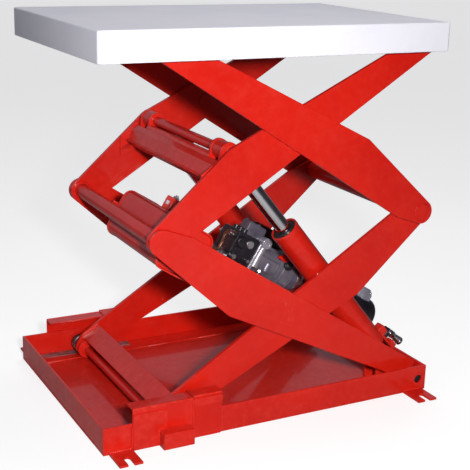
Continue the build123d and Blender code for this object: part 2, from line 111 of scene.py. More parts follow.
# ---- shapes ----
def turned(profile, segments=48):
    """Solid of revolution about Z from (z, radius) pairs."""
    verts, faces = [], []
    for z, r in profile:
        verts += [(r * cos(tau * i / segments), r * sin(tau * i / segments), z) for i in range(segments)]
    for row in range(len(profile) - 1):
        low, high = row * segments, (row + 1) * segments
        for i in range(segments):
            k = (i + 1) % segments
            faces.append((low + i, low + k, high + k, high + i))
    faces.append(tuple(reversed(range(segments))))
    faces.append(tuple(range(len(verts) - segments, len(verts))))
    return verts, faces


def turned_ring(profile, segments=48):
    """Ring of revolution about Z; the (z, radius) pairs close on themselves."""
    verts, faces = turned(list(profile) + [profile[0]], segments)
    faces = faces[:-2]
    last = len(verts) - segments
    merged = [tuple(i - last if i >= last else i for i in face) for face in faces]
    return verts[:last], merged


def rounded(corners, steps=5):
    """Outline with each (x, y, radius) corner rounded by an arc."""
    outline = []
    count = len(corners)
    for i, (x, y, r) in enumerate(corners):
        here = Vector((x, y))
        to_last = (Vector(corners[i - 1][:2]) - here).normalized()
        to_next = (Vector(corners[(i + 1) % count][:2]) - here).normalized()
        half = to_last.angle(to_next) / 2
        if r <= 0 or half > radians(89):
            outline.append((x, y))
            continue
        hub = here + (to_last + to_next).normalized() * (r / sin(half))
        first = here + to_last * (r / tan(half)) - hub
        last = here + to_next * (r / tan(half)) - hub
        turn = first.angle_signed(last)
        for k in range(steps + 1):
            spoke = first.copy()
            spoke.rotate(Matrix.Rotation(-turn * k / steps, 2))
            outline.append(tuple(hub + spoke))
    return outline


def rectangle(width, height, r, steps=5):
    """Rounded rectangle about the origin."""
    w, h = width / 2, height / 2
    return rounded([(-w, -h, r), (w, -h, r), (w, h, r), (-w, h, r)], steps)


def disc(radius, segments):
    """Regular outline with its first corner on X."""
    return [(radius * cos(tau * i / segments), radius * sin(tau * i / segments)) for i in range(segments)]


def stacked(rings):
    """Solid through outlines of equal count: rings is a list of (outline, z)."""
    count = len(rings[0][0])
    verts = [(x, y, z) for outline, z in rings for x, y in outline]
    faces = []
    for row in range(len(rings) - 1):
        low, high = row * count, (row + 1) * count
        for i in range(count):
            k = (i + 1) % count
            faces.append((low + i, low + k, high + k, high + i))
    faces.append(tuple(reversed(range(count))))
    faces.append(tuple(range(len(verts) - count, len(verts))))
    return verts, faces


def prism(outline, z0, z1):
    return stacked([(outline, z0), (outline, z1)])


def swept(path, radius, segments=10, closed=False):
    """Tube along a path; radius is a number or a function of the distance along it."""
    path = [Vector(p) for p in path]
    count = len(path)
    verts, faces, distance = [], [], 0.0
    side = None
    for i, point in enumerate(path):
        ahead = path[(i + 1) % count] if closed or i + 1 < count else point
        behind = path[i - 1] if closed or i else point
        way = (ahead - behind).normalized()
        if side is None:
            side = way.orthogonal().normalized()
        side = (side - way * side.dot(way)).normalized()
        other = way.cross(side)
        r = radius(distance) if callable(radius) else radius
        for k in range(segments):
            a = tau * k / segments
            verts.append(point + side * (r * cos(a)) + other * (r * sin(a)))
        distance += (ahead - point).length
    for row in range(count if closed else count - 1):
        low, high = row * segments, ((row + 1) % count) * segments
        for k in range(segments):
            m = (k + 1) % segments
            faces.append((low + k, low + m, high + m, high + k))
    if not closed:
        faces.append(tuple(reversed(range(segments))))
        faces.append(tuple(range(len(verts) - segments, len(verts))))
    return verts, faces


def resampled(path, pitch, closed=False):
    """Points about one pitch apart along straight runs."""
    path = [Vector(p) for p in path]
    runs = list(zip(path, path[1:] + ([path[0]] if closed else [])))
    points = []
    for a, b in runs:
        steps = max(1, round((b - a).length / pitch))
        points += [a.lerp(b, k / steps) for k in range(steps)]
    return points if closed else points + [path[-1]]


def bead(path, radius=3.0, closed=False):
    """Rippled weld bead along a path."""
    pitch, drift = 4.6, 7.3

    def rippled(distance):
        return radius * (1 + 0.13 * sin(tau * distance / pitch) + 0.07 * sin(distance / drift))

    return swept(resampled(path, pitch / 4, closed), rippled, 8, closed)


class Piece:
    """Gathers solids in millimetres, then becomes one object on a body."""

    def __init__(self, name, slot, body):
        self.name, self.slot, self.body = name, slot, body
        self.bm = bmesh.new()

    def add(self, solid, place=Matrix()):
        verts, faces = solid
        made = [self.bm.verts.new(place @ Vector(v)) for v in verts]
        for face in faces:
            self.bm.faces.new([made[i] for i in face])
        return self

    def mirrored(self):
        """Adds the twin of everything so far, across the centre plane."""
        everything = self.bm.verts[:] + self.bm.edges[:] + self.bm.faces[:]
        twin = bmesh.ops.duplicate(self.bm, geom=everything)["geom"]
        verts = [g for g in twin if isinstance(g, bmesh.types.BMVert)]
        bmesh.ops.scale(self.bm, vec=(1, -1, 1), verts=verts)
        return self

    def done(self, bevel=0.0, replaces=()):
        bmesh.ops.recalc_face_normals(self.bm, faces=self.bm.faces)
        bmesh.ops.scale(self.bm, vec=(MM, MM, MM), verts=self.bm.verts)
        for face in self.bm.faces:
            face.smooth = True
        if not bevel:
            for edge in self.bm.edges:
                edge.smooth = edge.calc_face_angle(0) < SHARP
        mesh = bpy.data.meshes.new(self.name)
        self.bm.to_mesh(mesh)
        self.bm.free()
        obj = bpy.data.objects.new(self.name, mesh)
        bpy.context.scene.collection.objects.link(obj)
        mesh.materials.append(finish[self.slot])
        if bevel:
            soften(obj, bevel)
        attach(obj, self.body)
        if replaces:
            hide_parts(*replaces)
        return obj


def soften(obj, width, segments=2, weld=False):
    """Rounds the edges by width millimetres and evens the shading."""
    if weld:
        merge = obj.modifiers.new("join_facets", "WELD")
        merge.merge_threshold = 0.01 * MM
        flat = obj.modifiers.new("join_flats", "DECIMATE")
        flat.decimate_type = "DISSOLVE"
        flat.angle_limit = radians(0.5)
    bevel = obj.modifiers.new("round_edges", "BEVEL")
    bevel.width = width * MM
    bevel.segments = segments
    bevel.limit_method = "ANGLE"
    bevel.angle_limit = SHARP
    bevel.use_clamp_overlap = True
    obj.modifiers.new("even_shading", "WEIGHTED_NORMAL")


# ---- finishes ----
class Finish:
    """A procedural material on the Principled shader; noise is in object space, per metre."""

    def __init__(self, name, roughness=0.4, metallic=0.0, coat=0.0, ior=1.42):
        self.material = bpy.data.materials.new(name)
        self.material.use_nodes = True
        self.tree = self.material.node_tree
        self.shader = self.tree.nodes["Principled BSDF"]
        self.shader.inputs["Roughness"].default_value = roughness
        self.shader.inputs["Metallic"].default_value = metallic
        self.shader.inputs["Coat Weight"].default_value = coat
        self.shader.inputs["Coat Roughness"].default_value = 0.07
        self.shader.inputs["IOR"].default_value = ior
        self.place = self.node("ShaderNodeTexCoord").outputs["Object"]

    def node(self, kind):
        return self.tree.nodes.new(kind)

    def link(self, source, target):
        if isinstance(source, bpy.types.NodeSocket):
            self.tree.links.new(source, target)
        else:
            target.default_value = source

    def noise(self, scale, detail=3.0, stretch=None, rough=0.55):
        node = self.node("ShaderNodeTexNoise")
        node.inputs["Scale"].default_value = scale
        node.inputs["Detail"].default_value = detail
        node.inputs["Roughness"].default_value = rough
        place = self.place
        if stretch:
            mapping = self.node("ShaderNodeMapping")
            mapping.inputs["Scale"].default_value = stretch
            self.link(place, mapping.inputs["Vector"])
            place = mapping.outputs[0]
        self.link(place, node.inputs["Vector"])
        return node.outputs[0]

    def ramp(self, value, low, high, to_low=0.0, to_high=1.0):
        node = self.node("ShaderNodeMapRange")
        self.link(value, node.inputs[0])
        for i, number in enumerate((low, high, to_low, to_high)):
            node.inputs[i + 1].default_value = number
        return node.outputs[0]

    def maths(self, operation, a, b):
        node = self.node("ShaderNodeMath")
        node.operation = operation
        self.link(a, node.inputs[0])
        self.link(b, node.inputs[1])
        return node.outputs[0]

    def mix(self, share, a, b):
        node = self.node("ShaderNodeMix")
        node.data_type = "RGBA"
        self.link(share, node.inputs[0])
        self.link(a if isinstance(a, bpy.types.NodeSocket) else (*a, 1), node.inputs[6])
        self.link(b if isinstance(b, bpy.types.NodeSocket) else (*b, 1), node.inputs[7])
        return node.outputs[2]

    def edges(self, low=0.53, high=0.62):
        """Share of wear on convex edges."""
        return self.ramp(self.node("ShaderNodeNewGeometry").outputs["Pointiness"], low, high)

    def colour(self, socket):
        self.link(socket, self.shader.inputs["Base Color"])

    def roughness(self, socket):
        self.link(socket, self.shader.inputs["Roughness"])

    def bump(self, height, strength, distance=0.001, under=None):
        node = self.node("ShaderNodeBump")
        node.inputs["Strength"].default_value = strength
        node.inputs["Distance"].default_value = distance
        self.link(height, node.inputs["Height"])
        if under is not None:
            self.link(under, node.inputs["Normal"])
        self.link(node.outputs[0], self.shader.inputs["Normal"])
        return node.outputs[0]


def enamel(name, dark, light, worn, scuff, roughness, coat):
    """Sprayed gloss paint: orange peel, uneven film, dust, worn edges and a few scuffs."""
    paint = Finish(name, coat=coat, ior=1.33)
    film = paint.mix(paint.ramp(paint.noise(4.5, 4), 0.35, 0.68), dark, light)
    dust = paint.ramp(paint.noise(22, 6, rough=0.7), 0.5, 0.8, 0.0, 0.05)
    film = paint.mix(dust, film, scuff)
    marks = paint.ramp(paint.noise(110, 5, stretch=(1.0, 0.6, 0.3), rough=0.7), 0.64, 0.7)
    patches = paint.ramp(paint.noise(5.5, 2), 0.6, 0.68, 0.0, 0.35)
    film = paint.mix(paint.maths("MULTIPLY", marks, patches), film, scuff)
    edge = paint.maths("MULTIPLY", paint.edges(), paint.ramp(paint.noise(60, 5), 0.45, 0.7, 0.15, 0.75))
    paint.colour(paint.mix(edge, film, worn))
    paint.roughness(paint.ramp(paint.noise(31, 5), 0.3, 0.7, *roughness))
    waves = paint.bump(paint.noise(14, 1), 0.06, 0.003)
    paint.bump(paint.noise(520, 2), 0.05, 0.0008, under=waves)
    return paint.material


def bare_metal(name, dark, light, roughness, grain, bump=0.15, metallic=1.0):
    """Metal with a fine grain; roughness is its lowest and highest value."""
    metal = Finish(name, metallic=metallic)
    metal.colour(metal.mix(metal.ramp(metal.noise(18, 6), 0.3, 0.7), dark, light))
    metal.roughness(metal.ramp(metal.noise(grain / 4, 4), 0.3, 0.7, *roughness))
    metal.bump(metal.noise(grain, 3), bump, 0.0006)
    return metal.material


def worn_track():
    """Flange strip that the rollers have worn: bare steel, grease and what is left of the paint."""
    strip = Finish("worn_track_steel")
    steel = strip.mix(strip.ramp(strip.noise(40, 6), 0.35, 0.65), (0.16, 0.145, 0.15), (0.42, 0.38, 0.39))
    paint_left = strip.ramp(strip.noise(24, 7, stretch=(0.45, 1, 1), rough=0.7), 0.52, 0.6)
    strip.colour(strip.mix(paint_left, steel, (0.34, 0.03, 0.02)))
    strip.link(strip.ramp(paint_left, 0, 1, 0.75, 0.0), strip.shader.inputs["Metallic"])
    strip.roughness(strip.ramp(strip.noise(70, 5), 0.3, 0.7, 0.3, 0.55))
    strip.bump(strip.noise(160, 6, stretch=(0.3, 1, 1)), 0.3, 0.0006)
    return strip.material


def moulded(name, dark, light, roughness, grain=700):
    """Plastic or dull paint with a fine even texture."""
    plastic = Finish(name)
    plastic.colour(plastic.mix(plastic.ramp(plastic.noise(30, 4), 0.35, 0.65), dark, light))
    plastic.roughness(plastic.ramp(plastic.noise(55, 4), 0.3, 0.7, *roughness))
    plastic.bump(plastic.noise(grain, 2), 0.12, 0.0005)
    return plastic.material


def make_finishes():
    """Every finish by name.  A row holds dark colour, light colour and the range of roughness."""
    metals = (
        ("machined_steel", (0.42, 0.40, 0.43), (0.70, 0.68, 0.71), (0.22, 0.4), 420),
        ("roller_steel", (0.07, 0.055, 0.055), (0.26, 0.22, 0.22), (0.3, 0.55), 240),
        ("hard_chrome", (0.72, 0.72, 0.75), (0.86, 0.86, 0.88), (0.05, 0.12), 900, 0.03),
        ("bronze", (0.40, 0.25, 0.10), (0.62, 0.42, 0.20), (0.3, 0.5), 500),
        ("copper", (0.52, 0.22, 0.12), (0.80, 0.42, 0.27), (0.2, 0.4), 300),
        ("cast_aluminium", (0.13, 0.12, 0.155), (0.25, 0.235, 0.29), (0.26, 0.42), 260, 0.2, 0.4),
        # lighter copy of the cast finish: partly machined faces, partly painted highlight on the bell's flange,
        # eye and rib
        ("casting_painted_highlight", (0.30, 0.28, 0.33), (0.46, 0.44, 0.50), (0.22, 0.36), 300, 0.06, 0.45),
    )
    dull = (
        ("black_paint", (0.006, 0.005, 0.008), (0.016, 0.013, 0.018), (0.25, 0.45), 420),
        ("grey_paint", (0.05, 0.045, 0.065), (0.10, 0.09, 0.12), (0.2, 0.35), 380),
        ("grey_conduit", (0.13, 0.125, 0.16), (0.27, 0.26, 0.32), (0.3, 0.45), 300),
        ("black_plastic", (0.010, 0.010, 0.010), (0.022, 0.021, 0.022), (0.35, 0.5)),
        ("grey_plastic", (0.30, 0.25, 0.21), (0.46, 0.40, 0.34), (0.4, 0.6)),
        ("red_plastic", (0.80, 0.035, 0.02), (0.92, 0.05, 0.03), (0.22, 0.36)),
    )
    made = {"worn_track_steel": worn_track()}
    made["red_enamel"] = enamel("red_enamel", (0.56, 0.007, 0.002), (0.66, 0.012, 0.004),
                                worn=(0.78, 0.06, 0.04), scuff=(0.76, 0.22, 0.17),
                                roughness=(0.32, 0.44), coat=0.45)
    # the white enamel's slight blue is partly painted reflection of the bluish sky on the deck's top
    made["white_enamel"] = enamel("white_enamel", (0.80, 0.79, 0.86), (0.86, 0.84, 0.90),
                                  worn=(0.90, 0.90, 0.92), scuff=(0.70, 0.70, 0.74),
                                  roughness=(0.34, 0.48), coat=0.1)
    for look in metals:
        made[look[0]] = bare_metal(*look)
    for look in dull:
        made[look[0]] = moulded(*look)
    return made


finish = make_finishes()


def dress_nodes():
    """Gives every CAD node its finish and rounds its edges a little."""
    fine = {"floor_pan", "platform_tracks", "roller_track_strips", "rod_pistons", "cylinder_glands"}
    sprayed = {"lower_roller_axle", "upper_centre_pins", "upper_inner_bushes", "lower_centre_bushes"}
    # sprayed nodes take the red enamel around them; the base pivot pins are made black, as dark as the holes
    # they sit in
    refinished = {"base_pivot_pins": "black_paint", **dict.fromkeys(sprayed, "red_enamel")}
    for name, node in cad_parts.items():
        for slot in node.material_slots:
            slot.material = finish[refinished.get(name, slot.material.name)]
        for polygon in node.data.polygons:
            polygon.use_smooth = True
        soften(node, 0.4 if name in fine else 1.2, weld=True)


# ---- platform ----
def make_platform():
    """One welded and ground pan: the deck with its skirt turned down all round."""
    low, high = box("platform_deck")
    foot = box("platform_skirt")[0].z
    length, width = high.x - low.x, high.y - low.y
    corner, edge, sheet, steps = 7.0, 4.0, 5.0, 5
    rings = [(rectangle(length - 2, width - 2, corner), foot)]
    rings.append((rectangle(length, width, corner), foot + 1))
    for k in range(steps + 1):
        a = pi / 2 * k / steps
        inset = edge * (1 - cos(a))
        level = high.z - edge + edge * sin(a)
        rings.append((rectangle(length - 2 * inset, width - 2 * inset, corner), level))
    verts, faces = stacked(rings)
    count = len(rings[0][0])
    start = len(verts)
    hollow = [(rectangle(length - 2 * sheet + 2, width - 2 * sheet + 2, corner - 3), foot),
              (rectangle(length - 2 * sheet, width - 2 * sheet, corner - 3), foot + 1),
              (rectangle(length - 2 * sheet, width - 2 * sheet, corner - 3), low.z)]
    verts += [(x, y, z) for outline, z in hollow for x, y in outline]
    faces = faces[:-2] + faces[-1:]
    for row in range(len(hollow) - 1):
        for i in range(count):
            k = (i + 1) % count
            a, b = start + row * count, start + (row + 1) * count
            faces.append((a + i, b + i, b + k, a + k))
    faces += [(i, start + i, start + (i + 1) % count, (i + 1) % count) for i in range(count)]
    faces.append(tuple(reversed(range(start + 2 * count, start + 3 * count))))
    pan = Piece("platform_pan", "white_enamel", "platform")
    pan.add((verts, faces), moved(centre("platform_deck").x, centre("platform_deck").y, 0))
    pan.done(replaces=("platform_deck", "platform_skirt"))

    welds = Piece("platform_rib_welds", "white_enamel", "platform")
    for x in [corner.x for corner in box("platform_ribs")]:
        for y in range(-200, 201, 100):
            welds.add(bead([(x, y - 22, low.z - 1), (x, y + 22, low.z - 1)], 2.6))
    welds.done()


# ---- lift beam ----
def make_lift_beam():
    """Folded beam between the upper inner legs, its cheek plates and the pin's collars."""
    (s0, s1), (n0, n1), (y0, y1) = upper_inner.span("lift_beam")
    corners = [(s1, n1, 5), (s0 + 32, n1, 5), (s0 + 7, n1 - 20, 3), (s0 + 6, n0 + 12, 4),
               (s0 + 26, n0 + 2, 5), (s1, n0 + 14, 6)]
    place = axes(upper_inner.at(0, 0, 0), -Y, upper_inner.s)
    beam = Piece("folded_lift_beam", "red_enamel", "upper_inner_legs")
    beam.add(prism(rounded(corners, 8), y0, y1), place)
    for s, n, ridge in ((s0 + 7, n1 - 20.5, 2.0), (s0 + 7, n0 + 13, 1.6)):
        beam.add(swept([upper_inner.at(s, n, y) for y in (y0 + 4, y1 - 4)], ridge, 10))
    # round bar along the beam's upper edge, a web under it that leaves room for the power unit,
    # and a lip along the beam's face
    bar_end, unit_side, bar_r = 186, 140, 12.0
    beam.add(swept([upper_inner.at(s1 + 6, n1 - 9, y) for y in (-bar_end, bar_end)], bar_r, 28))
    web = [(s1 - 2, n1 - 34), (s1 + 46, n1 - 34), (s1 + 46, n1 - 29), (s1 - 2, n1 - 29)]
    for start, end in ((-bar_end, 0), (unit_side, bar_end)):
        beam.add(prism(web, start, end), place)
    lip = [(s0 + 6, n1 - 24), (s0 - 1, n1 - 17), (s0 + 1, n1 - 14), (s0 + 9, n1 - 19)]
    beam.add(prism(lip, y0 + 4, y1 - 4), place)
    beam.done(replaces=("lift_beam",))

    welds = Piece("beam_end_welds", "red_enamel", "upper_inner_legs")
    loop = [upper_inner.at(s, n, y1 - 1) for s, n in rounded(corners, 5)]
    welds.add(bead(loop, 4.2, closed=True))
    welds.mirrored()
    welds.done()

    # cheek plates that join the beam's ends to the leg plates, each with a small triangular rib
    cheeks = Piece("beam_cheek_plates", "red_enamel", "upper_inner_legs")
    thick = 6.0
    cheek = rounded([(s0 - 36, n0 + 6, 4), (s0 - 6, n1 + 2, 6), (s1 + 2, n1 + 6, 4), (s1 + 2, n0 + 20, 4),
                     (s0 + 20, n0 - 6, 5)])
    cheeks.add(prism(cheek, -y1, -y1 + thick), place)
    rib = [(0, 0), (-26, 0), (0, 34)]
    rib_corner = upper_inner.at(s0 + 2, n0 + 22, y1 - thick)
    cheeks.add(prism(rib, -2.5, 2.5), axes(rib_corner, -upper_inner.n, upper_inner.s))
    cheeks.mirrored()
    cheeks.done(bevel=1.2)

    # collars that keep the rod pin in the ears
    pin = centre("rod_pin_shaft")
    collar_y = box("rod_pin_shaft")[1].y - 8
    collars = Piece("rod_pin_collars", "red_enamel", "upper_inner_legs")
    ring = turned_ring([(0, 12.6), (0, 19), (1.2, 20.2), (5.8, 20.2), (7, 19), (7, 12.6)])
    collars.add(ring, axes(Vector((pin.x, collar_y, pin.z)), Y, X))
    collars.mirrored()
    collars.done()


# ---- rams ----
barrels_low, barrels_high = box("cylinder_barrels")
rod_pin = centre("rod_pin_shaft")
BARREL_R = 36.0
ROD_R = 19.0
SHANK_R = 18.2          # painted end of a rod, clear of the gland's bore
EYE_R = 20.0
ram_y = barrels_high.y - BARREL_R
base_pin = Vector((barrels_high.x - EYE_R, 0, barrels_low.z + EYE_R))
ram_way = (base_pin - Vector((rod_pin.x, 0, rod_pin.z))).normalized()
ram_up = Vector((-ram_way.z, 0, ram_way.x))


def ram_at(distance, side, y):
    """A point beside a ram: distance runs from the rod pin towards the base pin."""
    return Vector((rod_pin.x, y, rod_pin.z)) + distance * ram_way + side * ram_up


def along_ram(node):
    """First and last distance of a node along the ram."""
    start = Vector((rod_pin.x, 0, rod_pin.z))
    rows = [(v.co / MM - start).dot(ram_way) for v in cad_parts[node].data.vertices]
    return min(rows), max(rows)


def make_rams():
    """Rods with their eyes, rod wipers, and the rings and welds on the barrels."""
    barrel_top = along_ram("cylinder_barrels")[0]
    weld_at = sum(along_ram("cylinder_ports")) / 2 - 40

    lip = [(-3.0, 33), (-3.6, 34.5), (-2.4, 36.4), (5, 36.8), (7, 36.2), (5, 35), (0.2, 32)]
    wiper = [(0.2, 19.3), (-2.2, 19.5), (-2.8, 21), (-2.2, 23), (-0.4, 24), (-0.4, 31.9), (0.2, 31.9)]
    lips = Piece("barrel_mouth_rings", "red_enamel", "cylinder_barrels")
    wipers = Piece("rod_wipers", "black_plastic", "cylinder_barrels")
    for y in (-ram_y, ram_y):
        place = axes(ram_at(barrel_top, 0, y), ram_way, Y)
        lips.add(turned_ring(lip), place)
        wipers.add(turned_ring(wiper), place)
    lips.done()
    wipers.done()

    rods = Piece("ram_rods", "hard_chrome", "cylinder_rods")
    eyes = Piece("ram_rod_eyes", "red_enamel", "cylinder_rods")
    rod_end = along_ram("cylinder_rods")[1]
    shank = 128.0       # the painted end reaches this far from the pin, and chrome follows
    for y in (-ram_y, ram_y):
        place = axes(ram_at(0, 0, y), ram_way, Y)
        rods.add(turned([(shank - 2, ROD_R), (rod_end - 1, ROD_R), (rod_end, ROD_R - 1)], 96), place)
        eyes.add(turned([(34, SHANK_R), (shank - 1, SHANK_R), (shank, SHANK_R - 1)], 64), place)
        neck = ((35.6, 30, 8), (35.6, 34, 16), (35.6, 34, 34), (32, 31, 37), (29, 29, 38))
        eyes.add(stacked([(rectangle(width, height, 6), z) for width, height, z in neck]), place)
        eyes.add(turned_ring([(-18, 12.7), (-18, 20.5), (-16.5, 22), (16.5, 22), (18, 20.5), (18, 12.7)]),
                 axes(ram_at(0, 0, y), Y, X))
    rods.done(replaces=("cylinder_rods",))
    eyes.done()

    welds = Piece("ram_welds", "red_enamel", "cylinder_barrels")
    for y in (-ram_y, ram_y):
        arc = [2.0 * (i / 20 - 1) for i in range(41)]
        welds.add(bead([ram_at(weld_at, BARREL_R * cos(a), y + BARREL_R * sin(a)) for a in arc], 1.7))
    welds.done()


def make_ram_ports():
    """Long port lug welded on each barrel's closed end, and the swivel union that lies over it."""
    first, last = along_ram("cylinder_ports")
    low, high = BARREL_R - 4, BARREL_R + 14
    lugs = Piece("ram_port_lugs", "red_enamel", "cylinder_barrels")
    unions = Piece("ram_port_unions", "machined_steel", "cylinder_barrels")
    elbows = Piece("ram_port_elbows", "black_paint", "cylinder_barrels")
    union_tilt = radians(10)
    arm_way = ram_way * cos(union_tilt) + ram_up * sin(union_tilt)
    mid = (first + last) / 2
    for y in (-ram_y, ram_y):
        foot = axes(ram_at(0, low, y), ram_up, ram_way)
        shape = rounded([(first, -15, 5), (last - 34, -15, 12), (last - 8, -8, 7), (last - 8, 8, 7),
                         (last - 34, 15, 12), (first, 15, 5)])
        trim = rounded([(first + 4, -12, 4), (last - 36, -12, 10), (last - 12, -6, 5), (last - 12, 6, 5),
                        (last - 36, 12, 10), (first + 4, 12, 4)])
        lugs.add(stacked([(shape, 0), (shape, 4), (trim, 8)]), foot)
        block, top = rectangle(26, 28, 3), rectangle(22, 24, 3)
        lugs.add(stacked([(block, 0), (block, high - low + 2), (top, high - low + 4)]),
                 foot @ moved(first + 14, 0, 0))
        lugs.add(stacked([(rectangle(24, 26, 3), 0), (top, high - low)]),
                 foot @ moved(mid + 22, 0, 0))
        arm = axes(ram_at(mid + 12, high + 11, y) - 29 * arm_way, arm_way, Y)
        elbows.add(turned([(-12, 5), (-11, 8), (0, 8), (1, 7)]), arm)
        elbow = axes(ram_at(first + 38, high - 8, y), ram_up, ram_way)
        elbows.add(turned([(0, 10), (12, 10), (14, 8)]), elbow)
        unions.add(turned([(-1, 7), (0, 9.6), (5, 9.6), (6, 8.6), (30, 8.6)]), arm)
        hexagon, trimmed = disc(11.0, 6), disc(10.4, 6)
        unions.add(stacked([(trimmed, 8), (hexagon, 9), (hexagon, 26), (trimmed, 27)]), arm)
        unions.add(turned([(28, 8.2), (38, 8.2), (38.6, 9.8), (56, 9.8)]), arm)
        unions.add(turned_ring([(50, 8.4), (50, 10.6), (52, 11.4), (58, 11.4), (59, 10.6), (59, 8.4)]), arm)
    elbows.done()
    lugs.done(replaces=("cylinder_ports",))
    unions.done()


# ---- power unit ----
motor_span = lower_outer.span("drive_motor")
UNIT = (sum(motor_span[1]) / 2, sum(motor_span[2]) / 2)     # n and y of the motor's axis
MOTOR_R = (motor_span[1][1] - motor_span[1][0]) / 2


def unit_piece(name, slot):
    """A piece of the power unit, which rides on the lower outer legs."""
    return Piece(name, slot, "lower_outer_legs")


def unit_axes(s, n, y):
    """Local Z along the motor's axis, local X up, local Y across."""
    return axes(lower_outer.at(s, n, y), lower_outer.s, lower_outer.n)


def on_leg(s, n, y):
    """Local Z standing square to the leg, local X along it."""
    return axes(lower_outer.at(s, n, y), lower_outer.n, lower_outer.s)


def to_front(s, n, y):
    """Local Z towards the front, local X along the leg."""
    return axes(lower_outer.at(s, n, y), -Y, lower_outer.s)


def down_leg(s, n, y):
    """Local Z along the leg, local X across it."""
    return axes(lower_outer.at(s, n, y), lower_outer.s, Y)


def add_bolt(piece, place, across=8.0, height=5.5):
    """Hexagon head on a washer, standing on local Z = 0."""
    r = across / sqrt(3)
    piece.add(stacked([(disc(r, 6), 1.5), (disc(r, 6), height + 0.7), (disc(r * 0.86, 6), height + 1.5)]), place)
    piece.add(turned([(0, r * 1.35), (1.2, r * 1.35), (1.6, r * 1.2)], 24), place)


def make_tank():
    """Welded tank with its ridges and its filler cap."""
    (s0, s1), (n0, n1), (y0, y1) = lower_outer.span("oil_tank")
    width, height = s1 - s0, n1 - n0
    middle = lower_outer.at((s0 + s1) / 2, (n0 + n1) / 2, 0)
    place = axes(middle, Y, lower_outer.s)
    tank = unit_piece("welded_oil_tank", "red_enamel")
    corner, rim, dish = 24.0, 3.0, 5.0
    # from an end's dished middle out over its rim: outline's shortfall, corner and depth
    rows = [(18, corner - 9, dish), (12, corner - 6, dish), (8, corner - 4, 0),
            (0, corner, 1.5), (0, corner, 9), (rim, corner - 1, 11)]
    section = [(rectangle(width - less, height - less, r, 8), y0 + depth) for less, r, depth in rows]
    section += [(rectangle(width - less, height - less, r, 8), y1 - depth) for less, r, depth in rows[::-1]]
    tank.add(stacked(section), place)
    tank.done(replaces=("oil_tank",))

    # two ridges along the tank's top with a bare strip between them, and one on its side
    seam = unit_piece("tank_seam", "red_enamel")
    for s in (s0 + 42, s0 + 50):
        seam.add(swept([lower_outer.at(s, n1 - 1.5, y) for y in (y0 + 12, y1 - 12)], 2.0, 10))
    seam.add(swept([lower_outer.at(s0 + 1.2, n0 + 30, y) for y in (y0 + 12, y1 - 12)], 1.6, 10))
    seam.done()
    strip = unit_piece("tank_seam_strip", "machined_steel")
    strip.add(prism(rectangle(5.5, y1 - y0 - 40, 1), 0, 1.2),
              on_leg(s0 + 46, n1 - 1.6, (y0 + y1) / 2))
    strip.done()

    (s0, s1), (n0, n1), (y0, y1) = lower_outer.span("tank_breather")
    cap = unit_piece("filler_breather", "black_plastic")
    top = n1 - n0
    place = on_leg((s0 + s1) / 2, n0, (y0 + y1) / 2)
    cap.add(turned([(0, 14), (3, 14), (3.5, 11), (top - 12, 11), (top - 12, 16.2), (top - 11, 17),
                    (top - 3, 17), (top - 1, 15.5), (top, 12)]), place)
    grip_ribs = 24
    for i in range(grip_ribs):
        cap.add(prism(rectangle(2.0, 2.0, 0.4, 2), top - 10.5, top - 3.5),
                place @ spun(tau * i / grip_ribs) @ moved(17, 0, 0))
    cap.done(replaces=("tank_breather",))


def make_coil():
    """Valve coil with its nut and blank label, and the plug beside it."""
    (s0, s1), (n0, n1), (y0, y1) = lower_outer.span("valve_coil")
    place = on_leg((s0 + s1) / 2, n0, (y0 + y1) / 2)
    coil = unit_piece("valve_coil_body", "red_plastic")
    w, d, h = s1 - s0, y1 - y0, n1 - n0
    coil.add(stacked([(rectangle(w - 2, d - 2, 4), 0), (rectangle(w, d, 5), 1), (rectangle(w, d, 5), h - 3),
                      (rectangle(w - 2, d - 2, 4.4), h - 1), (rectangle(w - 6, d - 6, 4), h)]), place)
    for z in (h * 0.3, h * 0.62):
        coil.add(prism(rectangle(w + 1.2, d + 1.2, 5), z, z + 1.6), place)
    coil.done(replaces=("valve_coil",))
    label = unit_piece("coil_blank_label", "white_enamel")
    patch = axes(lower_outer.at(s0 - 0.1, n0 + h * 0.5, (y0 + y1) / 2 - 2), -lower_outer.s, Y)
    label.add(prism(rectangle(d * 0.34, h * 0.3, 1.5), 0, 0.9), patch)
    label.done()
    nut = unit_piece("coil_nut", "machined_steel")
    nut.add(stacked([(disc(9, 6), h - 1), (disc(9, 6), h + 4), (disc(7.6, 6), h + 5)]), place)
    nut.add(turned([(h + 3, 4.2), (h + 8, 4.2), (h + 9, 3.2)], 24), place)
    nut.done()

    (s0, s1), (n0, n1), (y0, y1) = lower_outer.span("coil_connector")
    plug = unit_piece("coil_plug", "grey_plastic")
    place = on_leg((s0 + s1) / 2, n0, (y0 + y1) / 2)
    w, d, h = s1 - s0, y1 - y0, n1 - n0
    foot, shell = rectangle(w - 2, d - 3, 2), rectangle(w, d, 3)
    top = rectangle(w - 4, d - 4, 3)
    plug.add(stacked([(foot, 0), (foot, 5), (shell, 6), (shell, h - 4), (top, h)]), place)
    plug.add(turned([(0, 6.5), (2, 7.5), (9, 7.5), (10, 6)], 20),
             down_leg(s1 - 4, n0 + h * 0.45, (y0 + y1) / 2))
    for k in range(4):
        plug.add(prism(rectangle(w * 0.9, 1.6, 0.6, 2), 0, 1.0),
                 to_front((s0 + s1) / 2, n0 + 12 + 6 * k, y0 - 0.2))
    plug.done(replaces=("coil_connector",))


